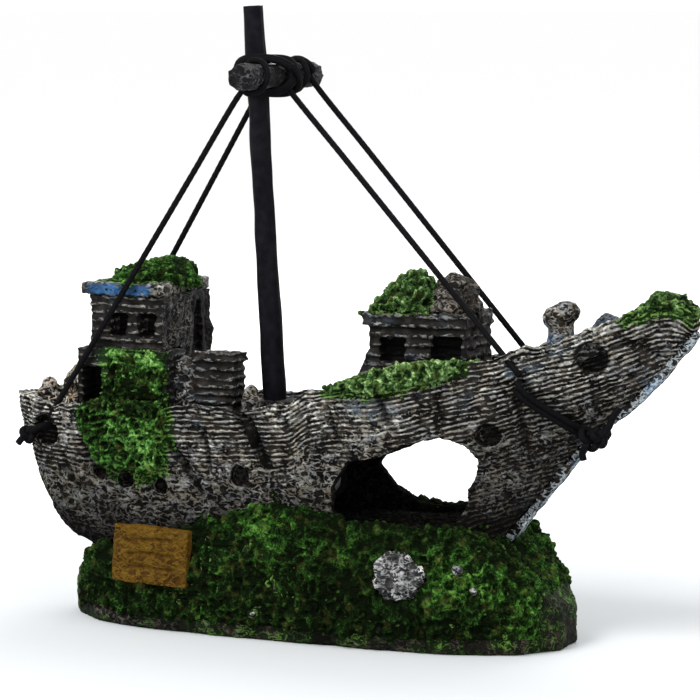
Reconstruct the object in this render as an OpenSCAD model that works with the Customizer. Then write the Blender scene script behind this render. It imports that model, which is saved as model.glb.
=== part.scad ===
// Sunken-ship aquarium ornament: a broken hull on a mossy rock mound, with a stepped mast,
// elastic stays and an air diffuser inside the hull.
// Origin: on the flat underside, below midships. +X is the bow, +Z is up, -Y is the show side.

/* [Mound] */
// Length of the rock mound along the ship
mound_len = 107; // [104:1:110]
// Width of the mound
mound_w = 40; // [38:0.5:42]
// Height of the mound where it climbs the hull amidships
mound_peak = 27; // [24:0.5:28]
// Thickness of the moss on the mound
moss_t = 0.9; // [0.6:0.1:1.2]

/* [Hull] */
// Greatest width of the hull at the rail
hull_beam = 36; // [34:0.5:37]
// Thickness of the bulwark
rail_t = 2.4; // [2:0.1:3]
// Depth of the deck below the rail
deck_drop = 4; // [3:0.5:5]
// Thickness of the deck planking
deck_t = 1.6; // [1.2:0.1:2]
// Thickness of the hull's sides round the cave
wall_t = 4.5; // [4:0.1:5]

/* [Mast and rigging] */
// Radius of the mast at the deck
mast_r = 2.3; // [2.1:0.05:2.4]
// Radius of the mast at the top
mast_tip_r = 2.1; // [1.9:0.05:2.3]
// Radial play of the mast's foot in its socket
mast_play = 0.05; // [0.03:0.01:0.1]
// Lean of the mast towards the stern, in degrees
mast_lean = 3.4; // [2.5:0.1:4]
// Height of the mast's top above the floor
mast_top = 125; // [118:1:128]
// Height of the yard above the floor
yard_z = 111; // [108:0.5:113]
// Length of the yard
yard_len = 34; // [28:1:36]
// Across-flats radius of the yard
yard_r = 2.5; // [2.2:0.1:2.7]
// Radius of the elastic cord
cord_r = 0.6; // [0.5:0.05:0.65]

/* [Air diffuser] */
// Outer radius of the spigot that takes the airline
spigot_r = 2.25; // [2:0.05:2.5]
// Length of the spigot that the airline slides over
spigot_len = 8; // [6:0.5:9]
// Radius of the air stone
stone_r = 3.2; // [2.8:0.1:3.5]
// Length of the air stone
stone_len = 9; // [8:0.5:10]

/* [Hidden] */
$fn = 48;

// Hull lines along the ship: height of the rail, height of the keel, half width of the keel's flat.
rail_line = [[-70.2, 45.5], [-62, 45], [-50, 44.3], [-10, 46.5], [-5.6, 46.9], [-1.6, 50], [2, 51],
             [12, 51.8], [18, 53], [25, 55], [35, 57.8], [42, 60.2], [50, 62.2], [60, 66.2], [66, 69],
             [70, 68.6], [72.2, 66.8]];
keel_line = [[-70.2, 37.8], [-68.4, 34], [-66.6, 28], [-64.6, 24.4], [-62.6, 20.6], [-60, 18], [-57, 16.2],
             [-52, 14.5], [-40, 11], [20, 11], [28, 15], [33, 20], [42, 31], [51, 42], [61, 50.5],
             [69.6, 60.2], [72.2, 63.4]];
keel_half = [[-70.2, 8], [-55, 10], [-40, 12], [15, 12], [28, 8], [36, 4], [46, 2], [72.2, 1.5]];
// Half width at the rail, as a share of the half beam.
beam_line = [[-70.2, 0.6], [-67, 0.7], [-64, 0.82], [-56, 0.94], [-45, 1], [12, 1], [25, 0.93], [35, 0.83],
             [45, 0.65], [55, 0.46], [65, 0.31], [72.2, 0.17]];
hull_stations = [-70.2, -68.4, -66.6, -64.6, -62.6, -60, -57, -52, -46, -38, -30, -20, -10, -5.6, -1.6, 2,
                 7, 12, 18, 25, 30, 35, 40, 45, 50, 55, 60, 63, 66, 70, 72.2];
deck_stations = [-66, -62, -56, -45, -30, -15, -5.6, -1.6, 2, 12, 18, 25, 30, 36, 42, 48, 54, 58];
side_steps = 6;

// Mound lines: half width as a share of the half length's oval, and the top's height along the ship.
mound_mid = -6.5;
mound_top = [[-60, 6], [-56, 11.5], [-51, 16], [-42, 14], [-32, 19], [-20, 23], [-9, mound_peak], [0, 25],
             [6, 24.4], [12, 23.4], [20, 23], [28, 24], [34, 21], [40, 15.4], [47, 8]];

// Cave through the hull: the show side's opening and the far side's, as [x, z] outlines.
cave_floor = 22.4;
// Top of the mound's lips below the breach.
sill_z = 23.6;
near_breach = [[6, cave_floor], [3, 26.6], [3.2, 31], [6.5, 36.3], [14, 38], [19, 40.6], [25.5, 42.3],
               [30, 40.6], [32.4, 37.6], [31.6, 34], [28.6, 29.6], [26, 25], [18, cave_floor]];
far_breach = [[10, 24.2], [4, 27.4], [0.3, 31.5], [4, 36.5], [14, 39], [22, 41], [28, 39],
              [30, 35], [28.2, 29.4], [23.4, 24.8], [18, 23.8]];
cave_back = -18;
cave_roof = 34;
cave_half = hull_beam / 2 - wall_t;

// Mast axis: it passes through the socket's foot point and leans aft.
deck_at_mast = 42.6;
socket_z = 35;
mast_foot_x = -16;
step_h = 3;
mast_len = (mast_top - socket_z) / cos(mast_lean);
function mast_x(z) = mast_foot_x - (z - socket_z) * tan(mast_lean);
yard_x = mast_x(yard_z) + mast_tip_r + yard_r + 0.25;

// Rigging points: where each stay leaves the yard's lashing, and where it enters the rail.
aft_near = [[yard_x - 2.2, -13.6, yard_z - 3.6], [-59.4, -15.2, 43]];
aft_far = [[mast_x(yard_z) - 3, 4.2, yard_z - 6], [-64.4, 13.6, 43]];
fore_near = [[yard_x + 2.6, -0.8, yard_z - 2.6], [40.2, -12.9, 55.8]];
fore_far = [[yard_x + 2.8, 10.6, yard_z - 1.4], [34, 13.6, 54.8]];
// The lashing on the bow: from the hole below the rail, along the side to the stem, and round it.
lashing_route = [[40.6, -12.2, 53], [41.2, -14.4, 52.6], [42.6, -13.8, 50.8], [44.4, -12, 49],
                 [46.4, -9.8, 47.2], [48.4, -7.4, 45.4], [50.2, -5, 43.8], [51.8, -3.4, 42.4],
                 [53.2, -1.6, 41.6], [53.7, 0, 41.4], [53.2, 1.6, 41.6], [51.8, 3.4, 42.4], [50.2, 5, 43.8]];
knot_at = [52.4, -4.4, 42.2];
knot_tail_up = [[53.4, -5, 42.6], [55, -5.2, 43.8], [56.6, -5.2, 45.4], [58, -5, 47]];
knot_tail_down = [[51.6, -5, 41.4], [50.6, -5.4, 39.8], [49.8, -5.6, 38.2]];

// Air fittings lie on one line across the hull, in the closed end of the cave.
air_x = -11;
air_z = 28;
air_bore = 1;
grommet_t = 1.2;
stone_seat = 3;

// ---------------------------------------------------------------------------------------------------
// Shape helpers

function smooth(a, b, t) = a + (b - a) * pow(t, 0.55);
function half_beam(x) = lookup(x, beam_line) * hull_beam / 2;
function keel_flat(x) = min(lookup(x, keel_half), half_beam(x));
function rail_z(x) = lookup(x, rail_line);
function keel_z(x) = lookup(x, keel_line);
function deck_z(x) = rail_z(x) - deck_drop;
// Half width of the hull at a height.
function side_y(x, z) =
    smooth(keel_flat(x), half_beam(x), (z - keel_z(x)) / (rail_z(x) - keel_z(x)));

// Ring of points round a section at x: up the -Y side by heights and half widths, down the +Y side.
function section(x, widths, heights) = concat(
    [for (i = [0:len(widths) - 1]) [x, -widths[i], heights[i]]],
    [for (i = [len(widths) - 1:-1:0]) [x, widths[i], heights[i]]]);

function hull_section(x) = section(x,
    [for (i = [0:side_steps]) smooth(keel_flat(x), half_beam(x), i / side_steps)],
    [for (i = [0:side_steps]) keel_z(x) + (rail_z(x) - keel_z(x)) * i / side_steps]);

// Straight-sided section between two heights, set in from the rail.
function well_section(x, low, high) = section(x,
    [half_beam(x) - rail_t - 0.6, half_beam(x) - rail_t], [low, high]);

function mound_half(x) =
    mound_w / 2 * pow(max(0.02, 1 - pow(abs(x - mound_mid) / (mound_len / 2 + 0.6), 4)), 0.5);
function mound_section(x, grow) = section(x,
    [for (s = [0.93, 0.99, 1, 0.97, 0.92, 0.86])
        s * mound_half(x) + grow + 0.35 * sin(x * 23 + s * 900)],
    [for (i = [0, 0.12, 0.35, 0.6, 0.85, 1]) (lookup(x, mound_top) + grow) * i]);

// Skin stretched over a list of equal rings, with a closed cap at each end.
module loft(rings) {
    n = len(rings[0]);
    last = (len(rings) - 1) * n;
    polyhedron(
        points = [for (r = rings) each r],
        faces = concat(
            [for (s = [0:len(rings) - 2], i = [0:n - 1])
                each [[s * n + i, s * n + (i + 1) % n, (s + 1) * n + i],
                      [s * n + (i + 1) % n, (s + 1) * n + (i + 1) % n, (s + 1) * n + i]]],
            [for (i = [0:n / 2 - 2]) each [[i, n - 1 - i, i + 1], [i + 1, n - 1 - i, n - 2 - i]]],
            [for (i = [0:n / 2 - 2]) each [[last + i, last + i + 1, last + n - 1 - i],
                                           [last + i + 1, last + n - 2 - i, last + n - 1 - i]]]),
        convexity = 6);
}

function unit(v) = v / norm(v);
function heading(p, i) = unit(p[min(i + 1, len(p) - 1)] - p[max(i - 1, 0)]);

// Round cord swept along a list of points; side is any direction that the cord never runs along.
module cord(points, side, r = cord_r, sides = 8) {
    rings = [for (i = [0:len(points) - 1])
        let (t = heading(points, i), u = unit(cross(t, side)), v = cross(t, u))
        [for (k = [0:sides - 1]) points[i] + r * (cos(k * 360 / sides) * u + sin(k * 360 / sides) * v)]];
    last = (len(rings) - 1) * sides;
    polyhedron(
        points = [for (g = rings) each g],
        faces = concat(
            [for (s = [0:len(rings) - 2], i = [0:sides - 1])
                each [[s * sides + i, (s + 1) * sides + i, s * sides + (i + 1) % sides],
                      [s * sides + (i + 1) % sides, (s + 1) * sides + i, (s + 1) * sides + (i + 1) % sides]]],
            [[for (k = [0:sides - 1]) k]],
            [[for (k = [sides - 1:-1:0]) last + k]]),
        convexity = 4);
}

// Closed cord loop: an oval of half axes a and b in the plane of u and v.
module cord_loop(centre, u, v, a, b, sides = 8, steps = 20) {
    n = steps;
    path = [for (k = [0:n - 1]) centre + a * cos(k * 360 / n) * u + b * sin(k * 360 / n) * v];
    w = cross(u, v);
    rings = [for (k = [0:n - 1])
        let (t = unit(path[(k + 1) % n] - path[(k + n - 1) % n]), out = cross(w, t))
        [for (j = [0:sides - 1])
            path[k] + cord_r * (cos(j * 360 / sides) * out + sin(j * 360 / sides) * w)]];
    polyhedron(
        points = [for (g = rings) each g],
        faces = [for (s = [0:n - 1], i = [0:sides - 1])
            each [[s * sides + i, ((s + 1) % n) * sides + i, s * sides + (i + 1) % sides],
                  [s * sides + (i + 1) % sides, ((s + 1) % n) * sides + i,
                   ((s + 1) % n) * sides + (i + 1) % sides]]],
        convexity = 6);
}

// Straight round bar from one point to another.
module bar(from, to, r) {
    d = to - from;
    translate(from)
        rotate([0, acos(d[2] / norm(d)), atan2(d[1], d[0])])
            cylinder(h = norm(d), r = r);
}

// Lumpy dome with a flat underside at z = 0; bump shifts the ripple so that no two look alike.
module lump(size, bump = 0, sides = 12, rings = 4, ripple = 0.1, bury = 0) {
    n = sides;
    function wave(a, k) =
        1 + ripple * sin(a * 3 + bump * 70 + k * 50) + ripple * 0.6 * cos(a * 5 - bump * 40);
    levels = [for (k = [0:rings]) [for (i = [0:n - 1])
        let (a = i * 360 / n, e = k * 84 / rings)
        [size[0] / 2 * cos(e) * cos(a) * wave(a, k), size[1] / 2 * cos(e) * sin(a) * wave(a, k),
         size[2] * sin(e) - (k == 0 ? bury : 0)]]];
    polyhedron(
        points = [for (g = levels) each g],
        faces = concat(
            [for (s = [0:rings - 1], i = [0:n - 1])
                each [[s * n + i, (s + 1) * n + i, s * n + (i + 1) % n],
                      [s * n + (i + 1) % n, (s + 1) * n + i, (s + 1) * n + (i + 1) % n]]],
            [[for (k = [0:n - 1]) k]],
            [[for (k = [n - 1:-1:0]) rings * n + k]]),
        convexity = 4);
}

// Extrudes an [x, z] outline across the ship, from y0 to y1.
module across(outline, y0, y1) {
    translate([0, y1, 0])
        rotate([90, 0, 0])
            linear_extrude(height = y1 - y0)
                polygon(outline);
}

// Box given by its lowest and highest corners.
module block(low, high) {
    translate(low) cube(high - low);
}

// ---------------------------------------------------------------------------------------------------
// Shared volumes

module hull_form() {
    loft([for (x = hull_stations) hull_section(x)]);
}

// Space between the bulwarks, from a depth below the deck up to clear air.
module deck_well(below = 0) {
    loft([for (x = deck_stations) well_section(x, deck_z(x) - below, rail_z(x) + 3)]);
}

// Hull and deck together, for seating what stands on them.
module ship_mass() {
    difference() {
        hull_form();
        deck_well();
    }
}

module mound_form(grow = 0) {
    ends = [mound_mid - mound_len / 2, mound_mid + mound_len / 2];
    stations = concat([ends[0]], [for (x = [ends[0] + 3:7:ends[1] - 3]) x], [ends[1]]);
    loft([for (x = stations) mound_section(x, grow)]);
}

// Room round the spigot for the airline to be pushed on.
module airline_room() {
    across_far(cave_half) cylinder(h = mound_w, r = spigot_r + 2.2);
}

module cave() {
    across(near_breach, -hull_beam, 0);
    across(far_breach, 0, hull_beam);
    across([[cave_back, cave_floor], [cave_back, cave_roof - 3], [cave_back + 3, cave_roof],
            [8, cave_roof + 2], [18, 38], [30, 38], [30, 29], [26, cave_floor]], -cave_half, cave_half);
}

module mast_axis() {
    translate([mast_foot_x, 0, socket_z]) rotate([0, -mast_lean, 0]) children();
}

module across_far(y) {
    translate([air_x, y, air_z]) rotate([-90, 0, 0]) children();
}

// Things built on the deck: their undersides follow the deck and the bulwarks.
module seated() {
    difference() {
        children();
        ship_mass();
    }
}

sign_low = [-43, -21.4, 9.4];
sign_high = [-26.4, -19.3, 22.6];
module sign_form() {
    translate(sign_low)
        rotate([0, 3, 0])
            cube(sign_high - sign_low);
}

module white_stone_form() {
    translate([18.6, -18.6, 15])
        rotate([90, 0, 0])
            lump([11, 10.4, 2.6], bump = 1, ripple = 0.05, bury = 3);
}

// ---------------------------------------------------------------------------------------------------
// Mound

// Keeps the mound out of the way of the breach, above a height.
module sill(z) {
    across([[4, z + 3], [6, z], [28, z], [31, z + 3], [34, mound_peak + 8], [4, mound_peak + 8]],
           -mound_w, mound_w);
}

module base_rock() {
    color("dimgray")
        difference() {
            mound_form();
            hull_form();
            stem_form();
            sign_form();
            white_stone_form();
            sill(sill_z);
            airline_room();
        }
}

module base_moss() {
    color("forestgreen")
        difference() {
            intersection() {
                mound_form(moss_t);
                block([-56, -30, 3], [44, 30, 40]);
            }
            mound_form();
            hull_form();
            stem_form();
            translate([0, -1, 0]) sign_form();
            sign_form();
            white_stone_form();
            translate([0, -1, 0]) white_stone_form();
            sill(sill_z + 0.7);
            chips(grow = 0.1);
            airline_room();
        }
}

module sign_plate() {
    color("peru") sign_form();
}

module white_stone() {
    color("gainsboro") white_stone_form();
}

module chips(grow = 0) {
    for (p = [[31, -18.9, 17.2, 2.6], [34, -18.2, 13, 1.9], [8, -19.2, 8, 1.8], [-12, -20.2, 5.4, 1.6]])
        translate([p[0], p[1], p[2]]) sphere(r = p[3] / 2 + grow, $fn = 24);
}

module quartz_chips() {
    color("whitesmoke")
        difference() {
            chips();
            mound_form();
        }
}

// ---------------------------------------------------------------------------------------------------
// Hull

module stay_holes() {
    for (s = [aft_near, aft_far, fore_near, fore_far])
        bar(s[1], s[0], cord_r + 0.12);
    bar(lashing_route[0] + [0, 1.4, 0], lashing_route[1] + [0, -2, 0], cord_r + 0.3);
}

// Ports and shot holes, as [x, z, radius, depth] on the show side. The last is the stern port.
ports = [[53.8, 58, 2.9, 3], [34.4, 42.6, 2.4, 2.6], [-16.6, 32.2, 2.2, 1.8], [-48.6, 30.8, 1.8, 2.4],
         [-42.4, 30, 1.8, 2.4], [-34.6, 29, 1.7, 2.4], [-61.8, 38.6, 3.4, 3.6]];

module port(p) {
    translate([p[0], p[3] - side_y(p[0], p[1]), p[1]])
        rotate([90, 0, 0])
            cylinder(h = hull_beam / 2, r = p[2]);
}

module hull_shell() {
    color("saddlebrown")
        difference() {
            hull_form();
            deck_well(deck_t);
            cave();
            for (p = ports) port(p);
            stay_holes();
            cord(lashing_route, [0.5, 0, 0.8], r = cord_r + 0.15);
            mast_axis() cylinder(h = 20, r = mast_r + mast_play);
            across_far(0) cylinder(h = hull_beam, r = spigot_r + grommet_t);
        }
}

module main_deck() {
    color("sienna")
        difference() {
            loft([for (x = deck_stations) section(x,
                [half_beam(x) - rail_t - 0.6 - 0.05, half_beam(x) - rail_t - 0.6],
                [deck_z(x) - deck_t, deck_z(x)])]);
            mast_axis() cylinder(h = 20, r = mast_r + mast_play);
        }
}

// Narrow post along the raked stem.
stem_w = 3;
stem_t = 1.1;
stem_stations = [24, 28, 33, 42, 51, 61, 69.6, 72.2];
module stem_form() {
    n = len(stem_stations) - 1;
    across(concat([for (x = stem_stations) [x - 0.4, keel_z(x) + 0.4]],
                  [for (i = [n:-1:0]) [stem_stations[i] + stem_t, keel_z(stem_stations[i]) - stem_t]]),
           -stem_w / 2, stem_w / 2);
}

module stem_post() {
    color("slategray")
        difference() {
            stem_form();
            hull_form();
            cord(lashing_route, [0.5, 0, 0.8], r = cord_r + 0.1);
        }
}

// ---------------------------------------------------------------------------------------------------
// Stern castle, lower house and step

tower_base = 40;
tower_eave = 66.8;
tower_foot = [[-52.4, -12.2], [-35.8, -12.2], [-36, 10], [-41, 10], [-44, 8.2], [-51.6, 8.2]];
window_w = 3.9;
window_h = 4.8;

module stern_tower() {
    color("rosybrown")
        seated()
            difference() {
                translate([0, 0, tower_base])
                    linear_extrude(height = tower_eave - tower_base)
                        polygon(tower_foot);
                for (x = [-48.2, -41.6])
                    block([x, -20, 58.4], [x + window_w, -8, 58.4 + window_h]);
                block([-37.8, 2.4, 54], [-30, 5.6, 65]);
                stern_deckhouse_form();
                step_form();
            }
}

module tower_roof() {
    color("steelblue")
        translate([0, 0, tower_eave])
            linear_extrude(height = 2.4)
                polygon([[-53.9, -13.2], [-35.2, -13.2], [-35, -10], [-36, -9], [-36.2, 9.6], [-41, 9.6],
                         [-44, 7.8], [-52.8, 7.8]]);
}

module stern_deckhouse_form() {
    block([-54.8, -13.6, 38], [-34.5, -4, 55.8]);
}

module stern_deckhouse() {
    color("rosybrown")
        seated()
            difference() {
                stern_deckhouse_form();
                block([-53.6, -15, 43.6], [-49.4, -8, 52.2]);
            }
}

module step_form() {
    block([-36.2, -10, 38], [-21.2, -4.6, 53.8]);
    block([-30, -10.6, 53.8], [-20.6, -4, 55.6]);
}

module step_block() {
    color("gray")
        seated()
            difference() {
                step_form();
                stern_deckhouse_form();
            }
}

module stern_rubble() {
    color("tan")
        seated()
            for (p = [[-64.8, -7.4, 6.2, 9.8], [-60.4, -3.6, 6.6, 12.2], [-57.4, -10, 3.6, 10.4],
                      [-62.8, 4.6, 7.4, 10], [-57.6, 7.6, 4.6, 8.6]])
                translate([p[0], p[1], 39]) lump([p[2], p[2] * 1.1, p[3]], bump = p[0]);
}

// ---------------------------------------------------------------------------------------------------
// Fore castle and what stands forward

castle_low = 46;
module fore_castle_form() {
    across([[5.2, castle_low], [5.2, 52], [7.8, 58.6], [7.6, 63], [28.6, 63.6], [29.2, castle_low]], -9, 4.4);
    across([[6.6, 62.4], [6.2, 65], [28.8, 65.4], [29.2, 62.8]], -9.5, 4.8);
}

module fore_castle() {
    color("dimgray")
        seated()
            difference() {
                fore_castle_form();
                block([10.4, -20, 55.4], [15.8, -5.4, 60.2]);
                block([21.4, -20, 56.2], [27.4, -5.4, 61]);
                block([2, -4, 56.4], [10, 0.5, 61]);
            }
}

module castle_lump_form() {
    translate([23.8, -2.4, 63]) lump([11.4, 12.8, 10.2], bump = 2, rings = 5, ripple = 0.06);
}

module castle_lump() {
    color("gray")
        seated()
            difference() {
                castle_lump_form();
                fore_castle_form();
            }
}

module mooring_post() {
    color("darkgray")
        seated()
            translate([45, -0.5, 56])
                union() {
                    cylinder(h = 8.4, r = 2.3);
                    translate([0.2, 0, 9.2]) rotate([0, -28, 0]) scale([3.7, 3.2, 2.4]) sphere(r = 1);
                }
}

module foredeck_stone() {
    color("silver") seated() translate([54.4, -0.6, 58]) lump([8.4, 8, 8], bump = 4);
}

module deck_boulder() {
    color("gray") seated() translate([-18.3, -8, 41]) lump([4.5, 5, 8.4], bump = 5, ripple = 0.05);
}

// ---------------------------------------------------------------------------------------------------
// Moss

module tower_moss() {
    color("yellowgreen")
        translate([-43.2, -2.2, tower_eave + 2.4])
            lump([16, 18, 4.2], bump = 6, sides = 16);
}

module castle_moss() {
    color("yellowgreen")
        difference() {
            union() {
                translate([15.2, -2.4, 64])
                    lump([12.4, 13, 9.4], bump = 7, sides = 16, rings = 5, ripple = 0.06);
                translate([9.6, -2.8, 63.6])
                    lump([8.4, 11.6, 5], bump = 3, sides = 14, rings = 4, ripple = 0.08);
            }
            fore_castle_form();
            castle_lump_form();
        }
}

// Height of the moss above the rail, at the bow and along the rail amidships.
bow_moss_rise = [[60.4, 0.2], [62.4, 0.9], [65, 1.6], [69, 1.2], [72.2, 0.5]];
rail_moss_rise = [[3, 0.3], [6, 0.8], [9, 1.8], [13, 2.8], [18, 3], [23, 2.3], [27, 1.3], [30.6, 0.3]];
module bow_moss() {
    color("yellowgreen")
        difference() {
            loft([for (p = bow_moss_rise) let (x = p[0], z = rail_z(x)) section(x,
                [half_beam(x) + 0.6, half_beam(x) + 0.7, half_beam(x) * 0.6],
                [z - 1.4, z - 0.4, z + p[1]])]);
            hull_form();
        }
}

module rail_moss() {
    color("yellowgreen")
        difference() {
            loft([for (p = rail_moss_rise)
                let (x = p[0], y = half_beam(x), z = rail_z(x), r = p[1])
                [[x, -y - 0.7, z - 1 - r * 0.25], [x, -y - 0.8, z - 0.4], [x, 0.4 - y, z + r],
                 [x, 1.4 - y, z + r], [x, 2.6 - y, z + 0.2], [x, 2.6 - y, z - 1.2]]]);
            hull_form();
        }
}

module stern_moss() {
    color("forestgreen")
        difference() {
            union() {
                across([[-51, 45.4], [-52.2, 42.6], [-51, 40], [-50.6, 37.4], [-48.6, 35.6], [-48, 32.6],
                        [-45.6, 31.4], [-43.6, 29.6], [-41, 31], [-38.6, 29.8], [-36, 30.6], [-33.4, 32.4],
                        [-33.6, 35.6], [-31.8, 37.8], [-32.6, 40.6], [-31.4, 43], [-33, 45.4]], -19, -14);
                across([[-49, 55], [-49.4, 45.4], [-34.6, 45.4], [-35.4, 48.6], [-34.7, 51],
                        [-35, 54.2], [-38.4, 55.6], [-46.4, 55.6]], -14.3, -13.6);
            }
            hull_form();
            block([-53.6, -15, 43.6], [-49.4, -8, 52.2]);
        }
}

// ---------------------------------------------------------------------------------------------------
// Mast and rigging

module mast_step() {
    color("dimgray")
        seated()
            difference() {
                mast_axis() cylinder(h = deck_at_mast - socket_z + step_h, r1 = 6, r2 = 4.2);
                mast_axis() cylinder(h = 30, r = mast_r + mast_play);
            }
}

module mast() {
    color("black")
        mast_axis() {
            cylinder(h = 14, r = mast_r);
            translate([0, 0, 14]) cylinder(h = mast_len - 14, r1 = mast_r, r2 = mast_tip_r);
        }
}

// Broken branch: an irregular six-sided bar with its flat against the mast.
module yard() {
    s = yard_r;
    color("dimgray")
        translate([yard_x, -yard_len / 2 - 0.9, yard_z])
            rotate([-90, 0, 0])
                linear_extrude(height = yard_len)
                    polygon([[-s, -1.2], [-s, 1.4], [-0.6, s], [1.6, s * 0.9], [s, 0.4], [s * 0.8, -1.6],
                             [-0.4, -s]]);
}

lashing_mid = [(mast_x(yard_z) + yard_x) / 2, 0, yard_z];
lashing_a = (yard_x - mast_x(yard_z)) / 2 + yard_r + cord_r + 0.25;
lashing_b = 5.6;
slant = 0.707;
loop_gap = 2 * cord_r + 0.1;

module yard_lashing_a() {
    color("black")
        cord_loop(lashing_mid, [1, 0, 0], [0, slant, slant], lashing_a, lashing_b);
}

module yard_lashing_b() {
    color("black")
        cord_loop(lashing_mid, [1, 0, 0], [0, -slant, slant], lashing_a + loop_gap, lashing_b + loop_gap);
}

module lashing_glue() {
    color("whitesmoke") {
        translate([yard_x - 0.5, -0.6, yard_z + yard_r]) lump([3, 2.6, 1.7], bump = 9);
        mirror([0, 0, 1])
            translate([yard_x - 0.2, 0.2, -yard_z + yard_r]) lump([2.4, 2.2, 1.1], bump = 10);
    }
}

// A stay runs straight from its hole in the rail to just short of the lashing.
module stay(ends) {
    color("black") bar(ends[1] + 0.3 * unit(ends[0] - ends[1]), ends[0], cord_r);
}

module stay_aft_near() stay(aft_near);
module stay_aft_far() stay(aft_far);
module stay_fore_near() stay(fore_near);
module stay_fore_far() stay(fore_far);

module stem_lashing() {
    color("black") cord(lashing_route, [0.5, 0, 0.8]);
}

module stem_knot() {
    color("black")
        difference() {
            union() {
                translate(knot_at) sphere(r = 1.7, $fn = 24);
                cord_loop(knot_at + [1.8, -0.6, 0.2], [0.9, 0, 0.43], [0, 1, 0], 1.9, 1.5, steps = 14);
                cord(knot_tail_up, [0, 1, 0]);
                cord(knot_tail_down, [0, 1, 0]);
            }
            hull_form();
            stem_form();
            cord(lashing_route, [0.5, 0, 0.8], r = cord_r + 0.05);
        }
}

stern_knot_at = [-65.8, -14.2, 37.4];
stern_bend = [-63, -14.2, 39];
module stern_knot() {
    color("black")
        difference() {
            union() {
                translate(stern_knot_at) sphere(r = 1.8, $fn = 24);
                bar([-61.8, -11.4, 38.8], stern_bend, cord_r);
                translate(stern_bend) sphere(r = cord_r + 0.05, $fn = 24);
                bar(stern_bend, stern_knot_at, cord_r);
                bar(stern_knot_at, stern_knot_at + [-2.4, -1, -2], cord_r);
            }
            difference() {
                hull_form();
                port(ports[len(ports) - 1]);
            }
        }
}

// ---------------------------------------------------------------------------------------------------
// Air diffuser, on one line across the hull

wall_in = cave_half;
wall_out = hull_beam / 2;
tip_h = 0.8;
bush_len = 6.5;
bush_end = wall_in - 1 - bush_len;
nipple_r = air_bore + 0.6;

module spigot_grommet() {
    color("black")
        difference() {
            union() {
                across_far(wall_in) cylinder(h = wall_out - wall_in, r = spigot_r + grommet_t);
                across_far(wall_in - 1) cylinder(h = 1, r = spigot_r + grommet_t + 1);
            }
            across_far(0) cylinder(h = hull_beam, r = spigot_r);
        }
}

module air_spigot() {
    color("lightgray")
        difference() {
            union() {
                across_far(wall_in - stone_seat)
                    cylinder(h = wall_out - wall_in + stone_seat + spigot_len - tip_h, r = spigot_r);
                across_far(wall_out + spigot_len - tip_h)
                    cylinder(h = tip_h, r1 = spigot_r, r2 = spigot_r - 0.4);
                across_far(wall_out) cylinder(h = 1, r = spigot_r + 1.4);
            }
            across_far(0) cylinder(h = hull_beam + 10, r = air_bore);
        }
}

module stone_bush() {
    color("dimgray")
        difference() {
            across_far(bush_end) cylinder(h = bush_len, r = spigot_r + 1.1);
            across_far(wall_in - stone_seat) cylinder(h = 6, r = spigot_r);
            across_far(0) cylinder(h = 12, r = nipple_r + 0.05);
        }
}

// The stone's nipple slides in the bush; a small gap keeps the stone's shoulder off the rubber.
module air_stone() {
    color("lightsteelblue")
        difference() {
            union() {
                across_far(bush_end - 0.2 - stone_len) cylinder(h = stone_len, r = stone_r);
                across_far(bush_end - 0.2) cylinder(h = 3.4, r = nipple_r);
            }
            across_far(bush_end - 3) cylinder(h = 10, r = air_bore);
        }
}

// ---------------------------------------------------------------------------------------------------

base_rock();
base_moss();
sign_plate();
white_stone();
quartz_chips();
hull_shell();
main_deck();
stem_post();
stern_tower();
tower_roof();
stern_deckhouse();
step_block();
fore_castle();
castle_lump();
mooring_post();
deck_boulder();
foredeck_stone();
stern_rubble();
tower_moss();
castle_moss();
bow_moss();
rail_moss();
stern_moss();
mast_step();
mast();
yard();
yard_lashing_a();
yard_lashing_b();
lashing_glue();
stay_aft_near();
stay_aft_far();
stay_fore_near();
stay_fore_far();
stem_lashing();
stem_knot();
stern_knot();
air_spigot();
spigot_grommet();
stone_bush();
air_stone();
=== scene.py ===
"""Looks of the sunken-ship ornament: weathered cast resin, moss flock, elastic rigging and air fittings.

Lengths inside the sculpting functions are millimetres; Blender's own lengths are metres.
"""
import math

import bpy
import numpy as np
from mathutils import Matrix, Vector
from mathutils.bvhtree import BVHTree


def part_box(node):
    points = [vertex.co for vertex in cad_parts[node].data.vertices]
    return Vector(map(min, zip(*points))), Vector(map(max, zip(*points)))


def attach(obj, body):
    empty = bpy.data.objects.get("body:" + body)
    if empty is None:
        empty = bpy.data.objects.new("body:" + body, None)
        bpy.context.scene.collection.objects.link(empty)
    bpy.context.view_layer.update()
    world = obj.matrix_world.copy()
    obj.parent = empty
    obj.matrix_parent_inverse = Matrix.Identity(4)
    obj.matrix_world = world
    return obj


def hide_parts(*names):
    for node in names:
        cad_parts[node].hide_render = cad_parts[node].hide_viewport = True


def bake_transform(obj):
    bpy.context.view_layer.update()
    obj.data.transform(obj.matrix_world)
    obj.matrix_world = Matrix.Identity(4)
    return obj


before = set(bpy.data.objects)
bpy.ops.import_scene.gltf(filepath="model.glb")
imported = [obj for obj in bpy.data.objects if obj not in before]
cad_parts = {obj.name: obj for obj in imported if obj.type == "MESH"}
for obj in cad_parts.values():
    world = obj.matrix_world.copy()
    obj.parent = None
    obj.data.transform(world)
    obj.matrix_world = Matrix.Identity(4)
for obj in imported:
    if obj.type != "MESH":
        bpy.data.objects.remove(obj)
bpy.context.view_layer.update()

MM = 0.001
NEAR = -1  # the show side's sign along Y


# --------------------------------------------------------------------------------------------------
# Noise on arrays of points, in millimetres

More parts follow.
